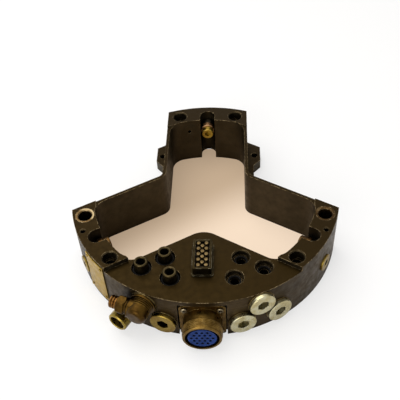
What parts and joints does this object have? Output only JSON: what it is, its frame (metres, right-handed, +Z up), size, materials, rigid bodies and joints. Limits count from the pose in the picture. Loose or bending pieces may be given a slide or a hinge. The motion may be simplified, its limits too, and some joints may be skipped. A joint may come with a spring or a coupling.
{
  "type": "robotic tool changer",
  "caption": "Low three-armed tool changer half with a Y-shaped opening, lock rollers in its slots, air ports, a contact block and a round connector.",
  "frame": {"origin": "middle of the body in its flat bottom face", "axes": "+Z up to the pads, the arm that stands apart points to +Y, the round connector faces -Y, +X to the right seen from the connector"},
  "size_m": [0.2554, 0.2788, 0.0602],
  "materials": {
    "body_anodised": "satin black hard anodised",
    "bush_steel": "ground",
    "lock_screw_zinc": "yellow zinc",
    "sleeve_steel": "black oxide",
    "lobe_plug_zinc": "yellow zinc",
    "plug_zinc": "yellow zinc, pale",
    "plug_gold": "yellow zinc, deep",
    "washer_brass": "dull",
    "nozzle_anodised": "satin black",
    "port_rubber": "matte",
    "adapter_brass": "dull",
    "nut_brass": "dull brown",
    "cup_zinc": "yellow-green zinc",
    "housing_anodised": "satin black",
    "contact_plastic": "moulded",
    "contact_gold": "gold plated",
    "connector_rubber": "matte",
    "connector_olive": "olive cadmium plate",
    "connector_blue": "moulded",
    "socket_gold": "dull",
    "screw_steel": "bright",
    "nameplate_gold": "gold anodised",
    "pin_steel": "dull",
    "cover_anodised": "satin black",
    "cover_screw_steel": "black oxide",
    "elbow_brass": "dull brown",
    "tail_copper": "copper-coloured",
    "roller_steel": "ground"
  },
  "bodies": {
    "changer": {"body": "body_anodised", "bush_left": "bush_steel", "bush_right": "bush_steel", "lock_screw_back": "lock_screw_zinc", "lock_screw_left": "lock_screw_zinc", "lock_screw_right": "lock_screw_zinc", "lock_sleeve_back": "sleeve_steel", "lock_sleeve_left": "sleeve_steel", "lock_sleeve_right": "sleeve_steel", "lobe_plugs": "lobe_plug_zinc", "port_plug_right_inner": "plug_zinc", "port_plug_right_middle": "plug_zinc", "port_plug_right_outer": "plug_zinc", "port_plug_left_inner": "plug_gold", "port_washers": "washer_brass", "nozzle_inner": "nozzle_anodised", "nozzle_middle": "nozzle_anodised", "nozzle_outer": "nozzle_anodised", "nozzle_seals": "port_rubber", "seat_seals": "port_rubber", "elbow_adapter": "adapter_brass", "union_adapter": "nut_brass", "union_cup": "cup_zinc", "contact_housing": "housing_anodised", "contact_insulator": "contact_plastic", "contact_barrels": "contact_gold", "connector_gasket": "connector_rubber", "connector_shell": "connector_olive", "connector_seal": "connector_rubber", "connector_insert": "connector_blue", "connector_sockets": "socket_gold", "connector_screws": "screw_steel", "nameplate": "nameplate_gold", "nameplate_pins": "pin_steel", "pocket_cover": "cover_anodised", "cover_screws": "cover_screw_steel"},
    "elbow": {"elbow_body": "elbow_brass", "branch_nut": "nut_brass", "branch_tail": "tail_copper"},
    "roller_back": {"lock_roller_back": "roller_steel"},
    "roller_left": {"lock_roller_left": "roller_steel"},
    "roller_right": {"lock_roller_right": "roller_steel"},
    "pin_1": {"contact_pin_1": "contact_gold"},
    "pin_2": {"contact_pin_2": "contact_gold"},
    "pin_3": {"contact_pin_3": "contact_gold"},
    "pin_4": {"contact_pin_4": "contact_gold"},
    "pin_5": {"contact_pin_5": "contact_gold"},
    "pin_6": {"contact_pin_6": "contact_gold"},
    "pin_7": {"contact_pin_7": "contact_gold"},
    "pin_8": {"contact_pin_8": "contact_gold"},
    "pin_9": {"contact_pin_9": "contact_gold"},
    "pin_10": {"contact_pin_10": "contact_gold"},
    "pin_11": {"contact_pin_11": "contact_gold"},
    "pin_12": {"contact_pin_12": "contact_gold"},
    "pin_13": {"contact_pin_13": "contact_gold"},
    "pin_14": {"contact_pin_14": "contact_gold"}
  },
  "joints": [
    {"name": "elbow_swivel", "type": "hinge", "parent": "changer", "child": "elbow", "pos_m": [-0.0556, -0.12849, 0.0368], "axis": [-0.3971, -0.9178, 0], "range_deg": [-120, 0]},
    {"name": "roller_back_turn", "type": "hinge", "parent": "changer", "child": "roller_back", "pos_m": [0, 0.11215, 0.039], "axis": [0, 1, 0], "continuous": true},
    {"name": "roller_left_turn", "type": "hinge", "parent": "changer", "child": "roller_left", "pos_m": [-0.09713, -0.05607, 0.039], "axis": [-0.866, -0.5, 0], "continuous": true},
    {"name": "roller_right_turn", "type": "hinge", "parent": "changer", "child": "roller_right", "pos_m": [0.09713, -0.05607, 0.039], "axis": [0.866, -0.5, 0], "continuous": true},
    {"name": "pin_1_travel", "type": "slide", "parent": "changer", "child": "pin_1", "axis": [0, 0, 1], "range_m": [-0.0012, 0], "stiffness_N_per_m": 500, "springref_m": 0.0006},
    {"name": "pin_2_travel", "type": "slide", "parent": "changer", "child": "pin_2", "axis": [0, 0, 1], "range_m": [-0.0012, 0], "stiffness_N_per_m": 500, "springref_m": 0.0006},
    {"name": "pin_3_travel", "type": "slide", "parent": "changer", "child": "pin_3", "axis": [0, 0, 1], "range_m": [-0.0012, 0], "stiffness_N_per_m": 500, "springref_m": 0.0006},
    {"name": "pin_4_travel", "type": "slide", "parent": "changer", "child": "pin_4", "axis": [0, 0, 1], "range_m": [-0.0012, 0], "stiffness_N_per_m": 500, "springref_m": 0.0006},
    {"name": "pin_5_travel", "type": "slide", "parent": "changer", "child": "pin_5", "axis": [0, 0, 1], "range_m": [-0.0012, 0], "stiffness_N_per_m": 500, "springref_m": 0.0006},
    {"name": "pin_6_travel", "type": "slide", "parent": "changer", "child": "pin_6", "axis": [0, 0, 1], "range_m": [-0.0012, 0], "stiffness_N_per_m": 500, "springref_m": 0.0006},
    {"name": "pin_7_travel", "type": "slide", "parent": "changer", "child": "pin_7", "axis": [0, 0, 1], "range_m": [-0.0012, 0], "stiffness_N_per_m": 500, "springref_m": 0.0006},
    {"name": "pin_8_travel", "type": "slide", "parent": "changer", "child": "pin_8", "axis": [0, 0, 1], "range_m": [-0.0012, 0], "stiffness_N_per_m": 500, "springref_m": 0.0006},
    {"name": "pin_9_travel", "type": "slide", "parent": "changer", "child": "pin_9", "axis": [0, 0, 1], "range_m": [-0.0012, 0], "stiffness_N_per_m": 500, "springref_m": 0.0006},
    {"name": "pin_10_travel", "type": "slide", "parent": "changer", "child": "pin_10", "axis": [0, 0, 1], "range_m": [-0.0012, 0], "stiffness_N_per_m": 500, "springref_m": 0.0006},
    {"name": "pin_11_travel", "type": "slide", "parent": "changer", "child": "pin_11", "axis": [0, 0, 1], "range_m": [-0.0012, 0], "stiffness_N_per_m": 500, "springref_m": 0.0006},
    {"name": "pin_12_travel", "type": "slide", "parent": "changer", "child": "pin_12", "axis": [0, 0, 1], "range_m": [-0.0012, 0], "stiffness_N_per_m": 500, "springref_m": 0.0006},
    {"name": "pin_13_travel", "type": "slide", "parent": "changer", "child": "pin_13", "axis": [0, 0, 1], "range_m": [-0.0012, 0], "stiffness_N_per_m": 500, "springref_m": 0.0006},
    {"name": "pin_14_travel", "type": "slide", "parent": "changer", "child": "pin_14", "axis": [0, 0, 1], "range_m": [-0.0012, 0], "stiffness_N_per_m": 500, "springref_m": 0.0006}
  ]
}
